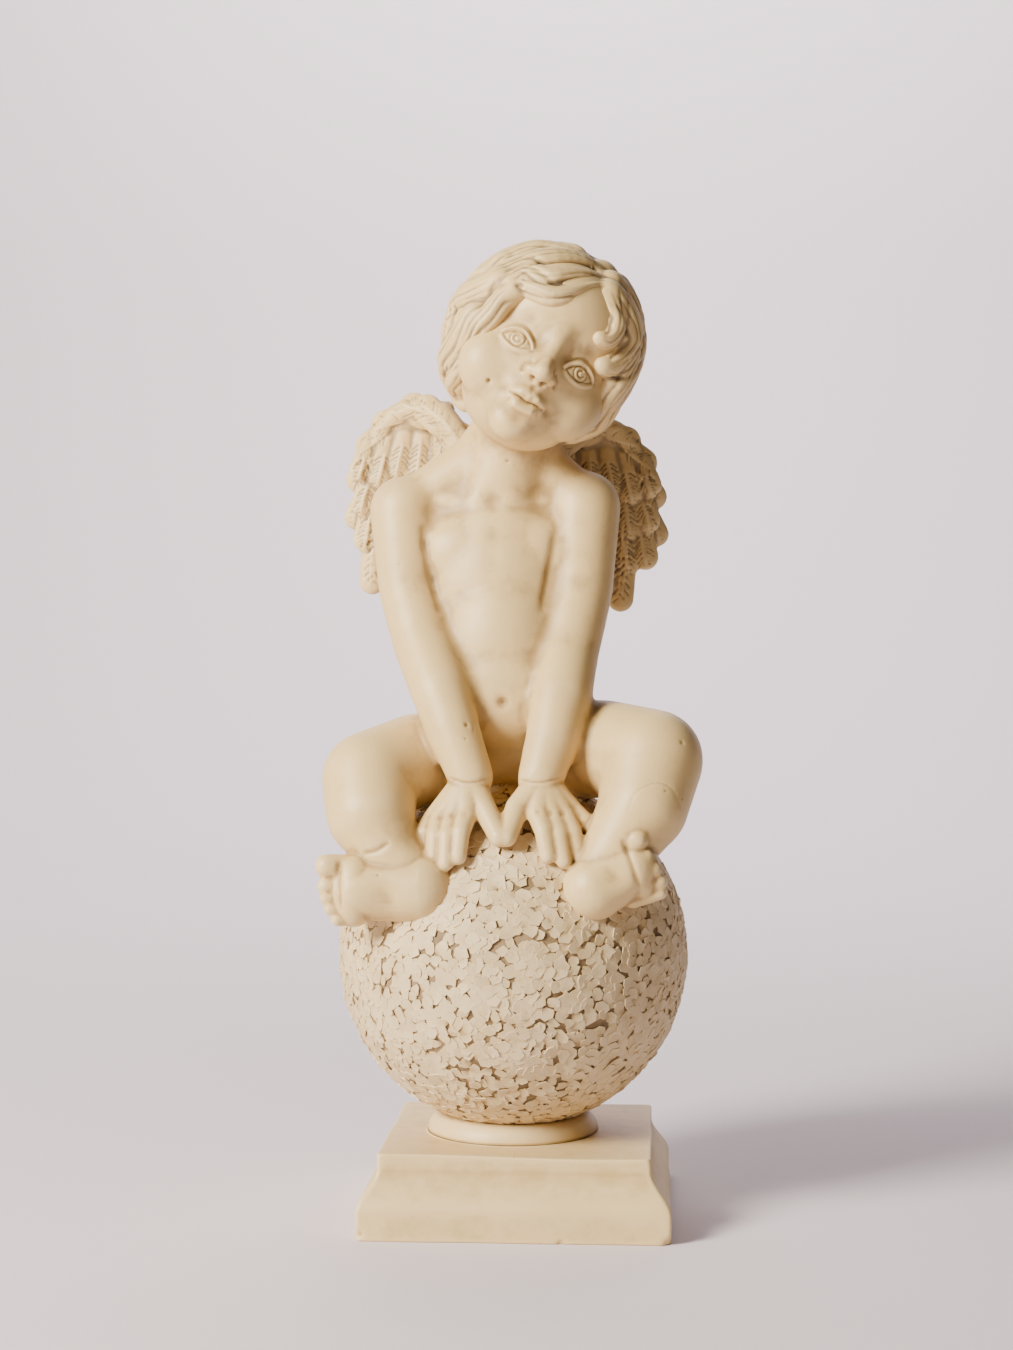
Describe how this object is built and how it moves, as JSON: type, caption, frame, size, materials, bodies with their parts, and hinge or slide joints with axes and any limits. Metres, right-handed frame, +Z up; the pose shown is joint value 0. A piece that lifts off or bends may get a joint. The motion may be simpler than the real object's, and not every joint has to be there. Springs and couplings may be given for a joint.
{
  "type": "angel figurine",
  "caption": "Cream cast figurine of a winged infant seated on a rough ball above a square moulded plinth.",
  "frame": {"origin": "middle of the plinth's underside", "axes": "+Z up through the ball to the head, -Y the way the figure looks, +X to the viewer's right"},
  "size_m": [0.1607, 0.1519, 0.4176],
  "materials": {
    "cream_plaster": "semi-matte cream paint over cast plaster, browner in the hollows"
  },
  "bodies": {
    "root": {"cherub_on_ball": "cream_plaster"}
  },
  "joints": []
}
